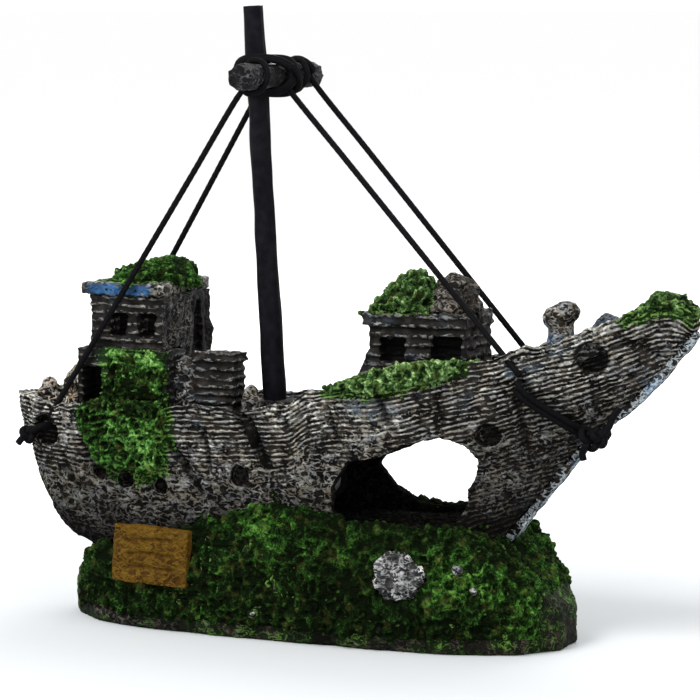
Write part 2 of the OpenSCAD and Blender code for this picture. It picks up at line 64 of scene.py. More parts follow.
def lattice(cell, seed):
    """A repeatable number from 0 to 1 for each whole-number cell."""
    c = cell.astype(np.int64)
    h = (c[..., 0] * 374761393 + c[..., 1] * 668265263 + c[..., 2] * 2147483629 + seed * 1274126177)
    h = (h ^ (h >> 13)) * 1274126177 & 0xFFFFFFFF
    h = (h ^ (h >> 16)) * 2246822519 & 0xFFFFFFFF
    return ((h ^ (h >> 13)) & 0xFFFFFF) / float(0xFFFFFF)


def noise(p, size, seed=0):
    """Smooth noise from -1 to 1 with features about size across; size may be one number or three."""
    q = p / np.asarray(size, float) + seed * 7.31
    cell = np.floor(q)
    f = q - cell
    f = f * f * (3 - 2 * f)
    total = 0
    for dx in (0, 1):
        for dy in (0, 1):
            for dz in (0, 1):
                w = ((f[:, 0] if dx else 1 - f[:, 0]) * (f[:, 1] if dy else 1 - f[:, 1])
                     * (f[:, 2] if dz else 1 - f[:, 2]))
                total = total + w * lattice(cell + (dx, dy, dz), seed)
    return total * 2 - 1


def fractal(p, size, octaves, seed=0):
    turn = np.array([[0.8, 0.6, 0], [-0.6, 0.8, 0], [0, 0, 1]])
    turn = turn @ np.array([[1, 0, 0], [0, 0.8, -0.6], [0, 0.6, 0.8]])
    total, weight = 0, 0
    for k in range(octaves):
        total = total + noise(p, np.asarray(size, float) / 2 ** k, seed + k) * 0.5 ** k
        weight += 0.5 ** k
        p = p @ turn
    return total / weight


def cells(p, size, seed=0):
    """Distance to the nearest of scattered points, about 0 to 1: round bumps and the creases between."""
    q = p / size
    base = np.floor(q)
    best = np.full(len(p), 9.0)
    for dx in (-1, 0, 1):
        for dy in (-1, 0, 1):
            for dz in (-1, 0, 1):
                c = base + (dx, dy, dz)
                point = c + np.stack([lattice(c, seed + k) for k in (1, 2, 3)], -1)
                best = np.minimum(best, ((point - q) ** 2).sum(-1))
    return np.sqrt(best)


def step(low, high, x):
    t = np.clip((x - low) / (high - low), 0, 1)
    return t * t * (3 - 2 * t)


def mixed(a, b, t):
    return a * (1 - t) + b * t


# --------------------------------------------------------------------------------------------------
# Meshes

def points_of(mesh):
    co = np.empty(len(mesh.vertices) * 3, np.float32)
    mesh.vertices.foreach_get("co", co)
    return co.reshape(-1, 3).astype(float) / MM


def normals_of(mesh):
    out = np.empty(len(mesh.vertices) * 3, np.float32)
    mesh.vertex_normals.foreach_get("vector", out)
    return out.reshape(-1, 3).astype(float)


def move_to(mesh, points):
    mesh.vertices.foreach_set("co", (points * MM).astype(np.float32).ravel())
    mesh.update()


def paint(mesh, **fields):
    """Stores named values on the vertices for the materials to read."""
    for name, values in fields.items():
        layer = mesh.attributes.get(name) or mesh.attributes.new(name, "FLOAT", "POINT")
        filled = np.asarray(values, np.float32) * np.ones(len(mesh.vertices), np.float32)
        layer.data.foreach_set("value", filled)


def new_piece(name, mesh, material, body="hull"):
    obj = bpy.data.objects.new(name, mesh)
    bpy.context.scene.collection.objects.link(obj)
    mesh.materials.clear()
    mesh.materials.append(material)
    mesh.polygons.foreach_set("use_smooth", [True] * len(mesh.polygons))
    mesh.update()
    if body:
        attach(obj, body)
    return obj


def mesh_from(name, verts, faces):
    mesh = bpy.data.meshes.new(name)
    mesh.from_pydata([tuple(v) for v in (np.asarray(verts) * MM)], [], [tuple(f) for f in faces])
    mesh.update()
    return mesh


def remeshed(node, voxel, rounding=4):
    """A dense, even, slightly rounded copy of a CAD node's solid; voxel is in millimetres."""
    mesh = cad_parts[node].data.copy()
    obj = bpy.data.objects.new("work", mesh)
    bpy.context.scene.collection.objects.link(obj)
    remesh = obj.modifiers.new("remesh", "REMESH")
    remesh.mode, remesh.voxel_size = "VOXEL", voxel * MM
    if rounding:
        soft = obj.modifiers.new("round", "SMOOTH")
        soft.factor, soft.iterations = 0.5, rounding
    graph = bpy.context.evaluated_depsgraph_get()
    done = bpy.data.meshes.new_from_object(obj.evaluated_get(graph))
    bpy.data.objects.remove(obj)
    return done


def sculpt(node, voxel, shape, material, rounding=4, body="hull"):
    """Replaces a CAD node by its remeshed solid, pushed out by shape(points, normals)."""
    mesh = remeshed(node, voxel, rounding)
    p, n = points_of(mesh), normals_of(mesh)
    height, fields = shape(p, n)
    moved = p + (n * height[:, None] if height.ndim == 1 else height)
    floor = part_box(node)[0].z / MM
    if floor < 0.01:
        moved[:, 2] = np.where(p[:, 2] < 0.3, np.maximum(p[:, 2], 0), np.maximum(moved[:, 2], 0.02))
    move_to(mesh, moved)
    paint(mesh, **fields)
    obj = new_piece(node + "_skin", mesh, material, body)
    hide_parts(node)
    return obj


def tube(path, radius, sides=14, closed=False, braid=0.0):
    """Vertices and faces of a round cord along a path; braid raises a crossed weave on it."""
    path = np.asarray(path, float)
    n = len(path)
    ahead = np.roll(path, -1, 0) if closed else np.vstack([path[1:], 2 * path[-1:] - path[-2:-1]])
    behind = np.roll(path, 1, 0) if closed else np.vstack([2 * path[:1] - path[1:2], path[:-1]])
    tangent = ahead - behind
    tangent /= np.linalg.norm(tangent, axis=1)[:, None]
    along = np.concatenate([[0], np.cumsum(np.linalg.norm(np.diff(path, axis=0), axis=1))])
    u = np.cross(tangent[0], (0.3, 0.5, 0.81))
    frames = []
    for t in tangent:
        u = u - t * (u @ t)
        u = u / np.linalg.norm(u)
        frames.append(u)
    u = np.array(frames)
    v = np.cross(tangent, u)
    a = np.arange(sides) * 2 * math.pi / sides
    r = np.full((n, sides), float(radius))
    if braid:
        turn = along[:, None] / (radius * 2.6)
        weave = np.maximum(np.cos(4 * (a + turn * 1.57)), np.cos(4 * (a - turn * 1.57)))
        r = r * (1 + braid * (weave - 0.6))
    verts = (path[:, None, :] + r[..., None] * (np.cos(a)[None, :, None] * u[:, None, :]
                                                 + np.sin(a)[None, :, None] * v[:, None, :]))
    verts = verts.reshape(-1, 3)
    faces = []
    for i in range(n if closed else n - 1):
        j = (i + 1) % n
        for k in range(sides):
            m = (k + 1) % sides
            faces.append((i * sides + k, i * sides + m, j * sides + m, j * sides + k))
    if not closed:
        faces.append(tuple(range(sides - 1, -1, -1)))
        faces.append(tuple((n - 1) * sides + k for k in range(sides)))
    return verts, faces


def curve(points, spacing=0.15):
    """A smooth run through given points, sampled evenly."""
    p = np.asarray(points, float)
    ext = np.vstack([2 * p[0] - p[1], p, 2 * p[-1] - p[-2]])
    out = []
    for i in range(1, len(ext) - 2):
        a, b, c, d = ext[i - 1:i + 3]
        count = max(2, int(np.linalg.norm(c - b) / spacing))
        for t in np.arange(count) / count:
            out.append(0.5 * (2 * b + (c - a) * t + (2 * a - 5 * b + 4 * c - d) * t ** 2
                              + (3 * b - a - 3 * c + d) * t ** 3))
    out.append(p[-1])
    return np.array(out)


def joined(parts):
    """One list of vertices and faces from several."""
    verts, faces, base = [], [], 0
    for v, f in parts:
        verts.append(v)
        faces += [tuple(i + base for i in face) for face in f]
        base += len(v)
    return np.vstack(verts), faces


# --------------------------------------------------------------------------------------------------
# Surfaces read from the CAD solids by rays and nearest points

def tree_of(node):
    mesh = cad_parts[node].data
    mesh.calc_loop_triangles()
    return BVHTree.FromPolygons([v.co for v in mesh.vertices], [t.vertices for t in mesh.loop_triangles])


def rail_profile():
    """Along the ship: the rail's height."""
    tree = tree_of("hull_shell")
    low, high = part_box("hull_shell")
    xs = np.linspace(low.x + 1e-4, high.x - 1e-4, 90)
    tops = []
    for x in xs:
        hits = [tree.ray_cast(Vector((x, y, high.z + 0.01)), Vector((0, 0, -1)))[0]
                for y in np.linspace(low.y, high.y, 61)]
        tops.append(max(h.z for h in hits if h) / MM)
    return xs / MM, np.array(tops)


rail_x, rail_top = rail_profile()
MOSSES = [tree_of(n) for n in ("tower_moss", "castle_moss", "bow_moss", "rail_moss", "stern_moss")]


def below_rail(p):
    return np.interp(p[:, 0], rail_x, rail_top) - p[:, 2]


def near_moss(p, reach=3.0):
    """1 beside the moss, falling to 0 a few millimetres away."""
    out = np.zeros(len(p))
    for i, q in enumerate(p):
        place = Vector(q * MM)
        for tree in MOSSES:
            hit = tree.find_nearest(place, reach * MM)
            if hit[3] is not None:
                out[i] = max(out[i], 1 - hit[3] / MM / reach)
    return out


# --------------------------------------------------------------------------------------------------
# Sculpted surfaces: each returns a height along the normal and the fields that its material reads

def planks(p, depth, pitch=1.0, seed=0, strength=1.0, coarse=0.0):
    """Wood grain and plank edges that follow the depth coordinate, worn and broken up."""
    stretched = p * (0.3, 1, 1)
    warp = 0.38 * noise(stretched, 3.4, seed) + 0.24 * noise(p * (0.5, 1, 1), 1.3, seed + 1)
    turns = (depth + warp) / pitch
    wave = 0.5 + 0.5 * np.cos(turns * 2 * math.pi)
    broken = step(-0.6, 0.2, noise(p * (0.4, 1, 1), 1.5, seed + 2))
    worms = np.clip(1 - np.abs(noise(p, 1.5, seed + 3)) * 2.2, 0, 1)
    ridge = mixed(wave * broken, worms, coarse)
    plank = np.abs((turns / 5 + 0.37) % 1 - 0.5) * pitch * 10
    seam = np.exp(-(plank / 0.5) ** 2) * (1 - coarse) * step(-0.4, 0.2, noise(stretched, 7, seed + 6))
    lumps = 0.40 * fractal(p, 8, 3, seed + 4)
    height = strength * (0.30 * (ridge - 0.5) - 0.25 * seam) + lumps
    return height, {"grain": turns, "coarse": coarse, "ridge": np.clip(ridge - 0.8 * seam, 0, 1),
                    "hollow": np.clip(0.5 - 1.4 * lumps + 0.6 * seam, 0, 1)}


def cracks(p, marks):
    """Grooves along straight lines on the show side: (x0, z0, x1, z1, half width, depth)."""
    total = np.zeros(len(p))
    wander = 0.5 * noise(p, 1.8, 77)
    for x0, z0, x1, z1, width, depth in marks:
        a, d = np.array((x0, z0)), np.array((x1 - x0, z1 - z0))
        q = p[:, (0, 2)] - a
        t = np.clip(q @ d / (d @ d), 0, 1)
        away = np.linalg.norm(q - t[:, None] * d, axis=1) + wander * width * 0.8
        total += depth * np.exp(-(away / width) ** 2)
    return total * (p[:, 1] * NEAR > 3)


HULL_CRACKS = [
    (-16.5, 45.5, -13.5, 41, 1.3, 1.9), (-13.5, 41, -10.5, 34.5, 0.95, 1.5), (-31.4, 37, -28.6, 33, 0.9, 1.4),
    (-28.6, 33, -25.4, 28, 0.75, 1.2), (-24, 41, -23, 33, 0.5, 0.8), (13.4, 50.5, 15.2, 45, 0.9, 1.2),
    (40.2, 50, 41.2, 41, 0.8, 1.1), (25, 50, 26.5, 45, 0.5, 0.8), (40.6, 53, 50.5, 43.5, 1.1, 0.6),
    (-58, 34, -54.5, 27, 0.7, 1.0), (57, 60, 64, 62, 0.4, 0.7), (-52, 38, -50, 32, 0.8, 0.8),
    (3, 47, 5, 40, 0.5, 0.8), (60, 62, 66, 58.6, 0.35, 0.6)]
# Each port: its middle along the ship, its height, and its radius.
PORTS = [(53.8, 58, 3.2), (34.4, 42.6, 2.4), (-16.6, 32.2, 2.2), (-48.6, 30.8, 1.8), (-42.4, 30, 1.8),
         (-34.6, 29, 1.7), (-61.8, 38.6, 3.4)]


def hull_shape(p, n):
    depth = below_rail(p)
    worn_aft = mixed(0.75, 0.25, step(0, 34, p[:, 0]))
    coarse = worn_aft * step(9, 18, depth + 3.0 * noise(p, 6, 31))
    coarse = np.maximum(coarse, step(0.75, 0.95, np.abs(n[:, 2])))
    coarse = np.clip(coarse + 0.20 + 0.30 * noise(p, 4.5, 34), 0, 1)
    height, fields = planks(p, depth, 0.98, 5, 1.0, coarse)
    cut = cracks(p, HULL_CRACKS)
    in_port, rim = np.zeros(len(p)), np.zeros(len(p))
    for x, z, r in PORTS:
        away = np.hypot(p[:, 0] - x, p[:, 2] - z) - r
        side = p[:, 1] * NEAR > 3
        in_port = np.maximum(in_port, step(0.25, -0.25, away + 0.25 * noise(p, 1.6, 33)) * side)
        rim = np.maximum(rim, np.exp(-((away - 0.55) / 0.4) ** 2) * side)
    # Painted shade: cave_shade darkens the breach's inner walls, and sill darkens the hull low down, forward
    # of amidships.
    cave = (p[:, 0] > -20) & (p[:, 0] < 34) & (p[:, 2] < 42.4)
    cave_shade = cave * step(0.55, 0.25, n[:, 1] * np.sign(p[:, 1])) * (p[:, 2] > 19)
    sill = step(28.5, 25.5, p[:, 2] + noise(p, 3, 58)) * step(-12, -6, p[:, 0])
    height = (height - cut + 0.25 * rim) * (1 - in_port)
    # The rail is chipped: its top rises and falls along the ship.
    top = np.exp(-(np.maximum(depth, 0) / 2.0) ** 2)
    chips = 0.6 * noise(p * (1, 0.2, 0), 5.5, 41) + 0.45 * noise(p * (1, 0.2, 0), 1.9, 42) - 0.2
    moved = n * height[:, None]
    moved[:, 2] += top * chips * (p[:, 0] < 66)
    fields["ridge"] = np.clip(fields["ridge"] + 0.5 * rim, 0, 1)
    # Painted shade: darker towards the bottom of the hull, further below the rail and on the low bow end, and
    # in the ports and the cracks.
    low = 0.80 * step(36, 16, p[:, 2] + 4 * noise(p, 5, 56)) + 0.25 * step(8, 16, depth)
    low = low + 0.35 * step(26, 32, p[:, 0]) * step(50, 38, p[:, 2])
    in_crack = 0.9 * np.clip(cut * 1.4, 0, 1)
    fields["dark"] = np.clip(np.maximum.reduce([low, cave_shade, sill, in_port, in_crack]), 0, 1)
    fields["blue"] = 0.6 * (step(0.2, 0.7, noise(p, 4.2, 51) + 0.3 * noise(p, 1.3, 52))
                            * np.maximum(step(10, 3, depth), step(40, 55, p[:, 0])))
    # Paler at the stern end, near the rail.
    pale_stern = step(-46, -58, p[:, 0]) * step(13, 5, depth)
    fields["pale"] = np.maximum(step(0.0, 0.6, noise(p, 9, 55)) * step(16, 4, depth), pale_stern)
    fields["green"] = near_moss(p)
    return moved, fields


def timber_shape(pitch=1.7, seed=0, strength=1.0, lump=0.35, blue=0.3, along=None):
    """Courses of old timber or stone round an upright block."""
    def shape(p, n):
        depth = p[:, 2] if along is None else p @ np.array(along)
        coarse = step(0.6, 0.9, np.abs(n[:, 2])) if along is None else 0.0
        height, fields = planks(p, depth, pitch, seed, strength, coarse)
        height += lump * fractal(p, 4.5, 3, seed + 60)
        fields["dark"] = np.clip(0.15 + 0.5 * noise(p, 6, seed + 61), 0, 1)
        fields["blue"] = step(0.2, 0.7, noise(p, 4, seed + 62)) * blue
        fields["pale"] = step(0.1, 0.7, noise(p, 5, seed + 63))
        fields["green"] = near_moss(p, 2.4)
        return height, fields
    return shape


def tower_shape(p, n):
    """The tower's courses, with a wall of rubble on its bow side; painted shade darkens its recess, the
    rubble's far half and its openings.
    """
    height, fields = timber_shape(1.75, 21, 1.2)(p, n)
    bow_side = step(0.4, 0.8, n[:, 0]) * (p[:, 0] > -39)
    stones = 0.55 - cells(p * (1, 1, 0.8), 2.6, 35)
    height = mixed(height, 1.3 * stones + 0.4 * fractal(p, 3, 2, 36), bow_side)
    fields["coarse"] = np.maximum(fields["coarse"], bow_side)
    # Painted shade on the far half of the bow-side rubble, in the recess and in the openings.
    shaded_half = step(0, 2, p[:, 1]) * (p[:, 0] > -39) * bow_side
    recess = shaded_half + ((p[:, 0] > -38.6) & (p[:, 1] > 1.6) & (p[:, 1] < 6.2) & (p[:, 2] < 65.6))
    openings = (p[:, 1] > -11.6) & (n[:, 0] < 0.5) & (p[:, 2] > 57.8) & (p[:, 1] < -6)
    fields["dark"] = np.maximum(fields["dark"], np.maximum(np.clip(recess, 0, 1) * 0.8, openings * 1.0))
    return height, fields


def roof_shape(p, n):
    """A chipped slab: a blue wash on the near fascia, a pale worn edge above it."""
    height, fields = rock_shape(3.0, 0.7, 22, 0.4, 0.3, 0.2, 0.0, near_moss)(p, n)
    edge = np.exp(-((p[:, 2] - 69.2) / 0.5) ** 2)
    fascia = step(0.3, 0.7, n[:, 1] * NEAR) * step(-53.5, -51, p[:, 0]) * step(-37, -40, p[:, 0])
    fields["ridge"] = np.clip(fields["ridge"] + edge, 0, 1)
    fields["pale"] = np.clip(edge, 0, 1)
    fields["blue"] = np.clip(fascia * (1.1 - 0.6 * edge + 0.5 * noise(p, 2.5, 64)), 0, 1)
    fields["green"] = fields["green"] * (1 - 0.7 * fascia)
    return height, fields


def castle_shape(p, n):
    height, fields = timber_shape(1.9, 25, 1.1, 0.5)(p, n)
    ledge = np.exp(-((p[:, 2] - 64 - 0.05 * p[:, 0]) / 1.3) ** 2)
    height += ledge * (0.5 - cells(p, 2.4, 37))
    # Painted shade inside the castle, where its openings look in.
    inside = (p[:, 1] > -8.4) & (p[:, 1] < 3.6) & (p[:, 0] > 7) & (p[:, 0] < 28.4) & (p[:, 2] < 62)
    fields["dark"] = np.maximum(fields["dark"] * (1 - ledge), inside * 1.0)
    fields["ridge"] = np.clip(fields["ridge"] + ledge * 0.5, 0, 1)
    return height, fields


def crag_shape(p, n):
    """Broken masonry: stones in rough layers, mossy on the side that faces the roof's moss."""
    height, fields = rock_shape(3.0, 1.4, 26, 0.6, 0.35, 0.5)(p, n)
    layer = np.abs(((p[:, 2] + 0.8 * noise(p, 4, 39)) / 2.6) % 1 - 0.5) * 2
    height += 0.5 * (1 - layer) * step(0.85, 0.5, np.abs(n[:, 2])) - 0.3
    fields["green"] = near_moss(p, 2.4)
    return height, fields


def house_shape(p, n):
    height, fields = timber_shape(1.6, 23, 1.0, 0.5)(p, n)
    # Painted shade inside the deckhouse, where its openings look in.
    inside = (p[:, 1] > -13) & (p[:, 0] > -54) & (p[:, 0] < -49)
    fields["dark"] = np.maximum(fields["dark"], inside * 1.0)
    return height, fields


def step_shape(p, n):
    """The step's courses at its bow end, rubble where it meets the deckhouse."""
    height, fields = timber_shape(1.75, 24, 1.5)(p, n)
    rubble = step(-28.6, -30.4, p[:, 0])
    stones = 0.6 - cells(p, 3.4, 38)
    height = mixed(height, 1.5 * stones, rubble)
    fields["coarse"] = np.maximum(fields["coarse"], rubble)
    fields["pale"] = np.maximum(fields["pale"], rubble * 0.8)
    fields["dark"] = fields["dark"] * (1 - rubble)
    return height, fields


def rock_shape(size=3.0, depth=0.8, seed=0, pits=0.3, dark=0.4, pale=0.3, blue=0.0, green=None):
    def shape(p, n):
        worn = fractal(p, size * 1.6, 4, seed)
        knobs = 0.5 - cells(p, size, seed + 5)
        fine = 1 - np.abs(noise(p, 0.9, seed + 6)) * 2
        height = depth * (0.7 * worn + 0.5 * knobs) + pits * 0.4 * fine
        ridge = np.clip(0.45 + 0.8 * knobs + 0.5 * worn + 0.3 * fine, 0, 1)
        return height, {
            "grain": 0.0, "coarse": 1.0, "ridge": ridge, "hollow": np.clip(0.5 - worn - knobs, 0, 1),
            "dark": np.clip(dark - worn, 0, 1), "blue": step(0.2, 0.6, noise(p, 3, seed + 7)) * blue,
            "pale": step(0.0, 0.5, worn) * pale, "green": green(p) if green else 0.0}
    return shape


def mound_shape(p, n):
    height, fields = rock_shape(4.0, 1.0, 41, 0.6, 0.5)(p, n)
    fields["green"] = np.clip(0.62 + 0.45 * noise(p, 4, 46) + 0.3 * step(3, 7, p[:, 2]), 0, 1)
    return height, fields


def moss_shape(depth=0.9, seed=0, grain=1.5, bright=0.0):
    """Spongy moss: a net of raised ridges round small pits."""
    def shape(p, n):
        net = np.clip(1 - np.abs(noise(p, grain, seed)) * 1.7, 0, 1)
        crumbs = 0.55 - cells(p, grain * 0.75, seed + 2)
        fluff = noise(p, grain * 0.45, seed + 4)
        mounds = noise(p, 5, seed + 8) + 0.6 * noise(p, 2.6, seed + 9)
        height = depth * (0.7 * (net - 0.6) + 0.6 * crumbs + 0.3 * fluff + 0.45 * mounds)
        light = bright(p) if callable(bright) else bright
        ragged = [noise(p, 2.4, seed + 20 + k) + 0.5 * noise(p, 0.9, seed + 30 + k) for k in range(3)]
        moved = n * height[:, None] + np.stack(ragged, -1) * 0.45 * depth * (0.6, 0.3, 0.6)
        return moved, {"tuft": np.clip(0.10 + 0.55 * net + 0.5 * crumbs + 0.25 * fluff, 0, 1),
                       "bright": light * np.ones(len(p))}
    return shape


def mound_light(p):
    """Where the mound's moss is brighter: amidships below the breach's aft edge, and towards the bow."""
    def spot(x, z, w, h):
        return np.exp(-((p[:, 0] - x) / w) ** 2 - ((p[:, 2] - z) / h) ** 2)
    light = (0.7 * spot(-7, 22, 9, 6) + 0.9 * spot(32, 14, 8, 6) + 0.6 * spot(45, 7, 6, 5)
             + 0.35 * spot(-20, 15, 9, 5))
    return np.clip(light + 0.35 * noise(p, 8, 47) + 0.25 * noise(p, 3.4, 48), 0, 1)


def tower_moss_shape(p, n):
    """The roof's moss: thin over the stern end, climbing to a peak and spilling over the bow side."""
    moved, fields = moss_shape(1.2, 51, 1.5, 0.35)(p, n)
    peak = np.exp(-((p[:, 0] + 39.8) / 4.2) ** 2 - ((p[:, 1] - 0.5) / 5.5) ** 2)
    above = step(69.4, 70.4, p[:, 2])
    moved[:, 0] += (p[:, 0] + 43.2) * 0.22 + 0.9
    moved[:, 2] += above * (1.3 * peak - 1.0 * (1 - peak))
    spill = step(-38.6, -35.6, p[:, 0])
    moved[:, 2] -= spill * (1.2 + 0.8 * noise(p, 3, 65))
    return moved, fields


def stern_light(p):
    # Painted light along the moss's top edge, with a paler lower part and random paler patches.
    top = 0.65 * step(51.5, 55, p[:, 2]) + 0.25 * step(47, 40, p[:, 2])
    return np.clip(0.16 + top + 0.40 * noise(p, 4, 57) + 0.25 * noise(p, 1.8, 58), 0, 1)


def stern_moss_shape(p, n):
    """A curtain of moss, drawn in at its aft edge and thinning out towards its foot."""
    moved, fields = moss_shape(1.3, 55, 1.5, stern_light)(p, n)
    lift = 0.16 * np.maximum(44 - p[:, 2], 0)
    moved[:, 0] += 1.4 * step(44, 47, p[:, 2]) * step(-44, -49, p[:, 0])
    moved[:, 1] += NEAR * 0.3 * lift
    moved[:, 2] += lift
    return moved, fields


# --------------------------------------------------------------------------------------------------
# Materials

class Graph:
    """Short names for the shader nodes that the materials use."""

    def __init__(self, name, shine=0.05):
        self.material = bpy.data.materials.new(name)
        self.material.use_nodes = True
        self.tree = self.material.node_tree
        self.tree.nodes.clear()
        self.shader = self.tree.nodes.new("ShaderNodeBsdfPrincipled")
        out = self.tree.nodes.new("ShaderNodeOutputMaterial")
        self.tree.links.new(self.shader.outputs[0], out.inputs[0])
        self.place = self.tree.nodes.new("ShaderNodeTexCoord").outputs["Object"]
        self.set("Specular IOR Level", shine)

    def put(self, socket, value):
        if isinstance(value, bpy.types.NodeSocket):
            self.tree.links.new(value, socket)
        elif isinstance(value, tuple) and len(value) == 3 and socket.type == "RGBA":
            socket.default_value = (*value, 1)
        else:
            socket.default_value = value

    def set(self, name, value):
        self.put(self.shader.inputs[name], value)

    def field(self, name):
        node = self.tree.nodes.new("ShaderNodeAttribute")
        node.attribute_name = name
        return node.outputs["Fac"]

    def calc(self, op, a, b=0.0, clamp=False):
        node = self.tree.nodes.new("ShaderNodeMath")
        node.operation, node.use_clamp = op, clamp
        self.put(node.inputs[0], a)
        self.put(node.inputs[1], b)
        return node.outputs[0]

    def blend(self, a, b, amount):
        node = self.tree.nodes.new("ShaderNodeMix")
        self.put(node.inputs[0], amount)
        self.put(node.inputs[2], a)
        self.put(node.inputs[3], b)
        return node.outputs[0]

    def noise(self, size_mm, detail=3.0, roughness=0.55, stretch=None, distortion=0.0):
        node = self.tree.nodes.new("ShaderNodeTexNoise")
        place = self.place
        if stretch:
            scaled = self.tree.nodes.new("ShaderNodeMapping")
            scaled.inputs["Scale"].default_value = stretch
            self.put(scaled.inputs["Vector"], self.place)
            place = scaled.outputs[0]
        self.put(node.inputs["Vector"], place)
        node.inputs["Scale"].default_value = 1000 / size_mm
        node.inputs["Detail"].default_value = detail
        node.inputs["Roughness"].default_value = roughness
        node.inputs["Distortion"].default_value = distortion
        return node.outputs[0]

    def ramp(self, value, *stops):
        node = self.tree.nodes.new("ShaderNodeValToRGB")
        self.put(node.inputs[0], value)
        band = node.color_ramp
        while len(band.elements) < len(stops):
            band.elements.new(0.5)
        for element, (at, colour) in zip(band.elements, stops):
            element.position = at
            element.color = (*colour, 1) if isinstance(colour, tuple) else (colour, colour, colour, 1)
        return node.outputs[0]

    def mix(self, amount, a, b):
        node = self.tree.nodes.new("ShaderNodeMix")
        node.data_type = "RGBA"
        self.put(node.inputs[0], amount)
        self.put(node.inputs[6], a)
        self.put(node.inputs[7], b)
        return node.outputs[2]

    def bump(self, height, strength, distance_mm):
        node = self.tree.nodes.new("ShaderNodeBump")
        node.inputs["Strength"].default_value = strength
        node.inputs["Distance"].default_value = distance_mm * MM
        self.put(node.inputs["Height"], height)
        self.set("Normal", node.outputs[0])


BLACK = (0.004, 0.0038, 0.0035)
BROWN = (0.032, 0.023, 0.016)


def weathered(name, light, tint, cream=(0.60, 0.56, 0.48), cover=0.42, shadow=BLACK, under=BROWN,
              blue=(0.10, 0.20, 0.34), lines=True, wash=0.44, shine=0.05):
    """Dark wash in the hollows, dry-brushed paint along the ridges, flecks of old blue paint, and painted
    shade from the dark field.
    """
    g = Graph(name, shine)
    fine = g.noise(0.38, 3.0, 0.7)
    worm = g.noise(1.15, 2.0, 0.5, (0.65, 1, 1), 0.5)
    worm = g.calc("ABSOLUTE", g.calc("SUBTRACT", worm, 0.5))
    worm = g.ramp(worm, (0.0, 1.0), (0.045, 0.55), (0.10, 0.0))
    relief = worm
    if lines:
        wobble = g.calc("SUBTRACT", g.noise(1.1, 2.0, 0.5, (0.45, 1, 1)), 0.5)
        phase = g.calc("ADD", g.field("grain"), g.calc("MULTIPLY", wobble, 0.9))
        wave = g.calc("COSINE", g.calc("MULTIPLY", phase, 2 * math.pi))
        wave = g.ramp(g.calc("ADD", g.calc("MULTIPLY", wave, 0.5), 0.5),
                      (0.35, 0.0), (0.70, 0.55), (0.97, 1.0))
        breaks = g.ramp(g.noise(0.8, 3.0, 0.65, (0.5, 1, 1)), (0.40, 0.0), (0.56, 1.0))
        relief = g.blend(g.calc("MULTIPLY", wave, breaks), worm, g.field("coarse"))
    relief = g.calc("ADD", g.calc("MULTIPLY", relief, 0.75), g.calc("MULTIPLY", g.field("ridge"), 0.16))
    wear = g.calc("MULTIPLY", g.calc("SUBTRACT", g.noise(3.0, 5.0, 0.65), 0.5), 1.1)
    brushed = g.calc("ADD", relief, g.calc("MULTIPLY", g.calc("SUBTRACT", fine, 0.5), 0.9))
    brushed = g.calc("ADD", brushed, wear)
    brushed = g.calc("SUBTRACT", brushed, g.calc("MULTIPLY", g.field("hollow"), 0.12))
    brushed = g.calc("ADD", brushed, g.calc("MULTIPLY", g.field("pale"), 0.10))
    brushed = g.ramp(brushed, (cover - 0.20, 0.0), (cover + 0.06, 0.55), (cover + 0.30, 1.0))
    hue = g.noise(3.2, 4.0, 0.6)
    top = g.mix(g.ramp(hue, (0.42, 0.0), (0.60, 1.0)), light, tint)
    pale = g.calc("MULTIPLY", g.ramp(g.noise(1.3, 3.0), (0.48, 0.0), (0.62, 1.0)),
                  g.calc("ADD", g.calc("MULTIPLY", g.field("pale"), 0.6), 0.35), clamp=True)
    top = g.mix(pale, top, cream)
    base = g.mix(g.ramp(g.noise(2.4, 4.0), (0.45, 0.0), (0.70, 1.0)), shadow, under)
    colour = g.mix(brushed, base, top)
    flakes = g.ramp(g.noise(1.0, 3.0), (wash, 0.0), (wash + 0.14, 0.85))
    old_blue = g.calc("MULTIPLY", g.field("blue"), flakes)
    colour = g.mix(old_blue, colour, blue)
    patchy = g.calc("MULTIPLY", g.calc("SUBTRACT", g.noise(1.4, 4.0, 0.7), 0.5), 1.6)
    growth = g.calc("ADD", g.field("green"), patchy)
    growth = g.ramp(growth, (0.50, 0.0), (0.72, 0.85))
    colour = g.mix(growth, colour, g.ramp(brushed, (0.0, (0.006, 0.018, 0.003)), (1.0, (0.10, 0.22, 0.03))))
    # Painted shade: the dark field darkens towards the shadow colour in recesses, openings, cracks and low on
    # the hull, along with some random darker tone.
    colour = g.mix(g.ramp(g.field("dark"), (0.0, 0.0), (1.0, 0.93)), colour, shadow)
    g.set("Base Color", colour)
    g.set("Roughness", g.ramp(brushed, (0.0, 0.55), (1.0, 0.80)))
    g.bump(g.calc("ADD", relief, g.calc("MULTIPLY", fine, 0.45)), 0.85, 0.32)
    return g.material


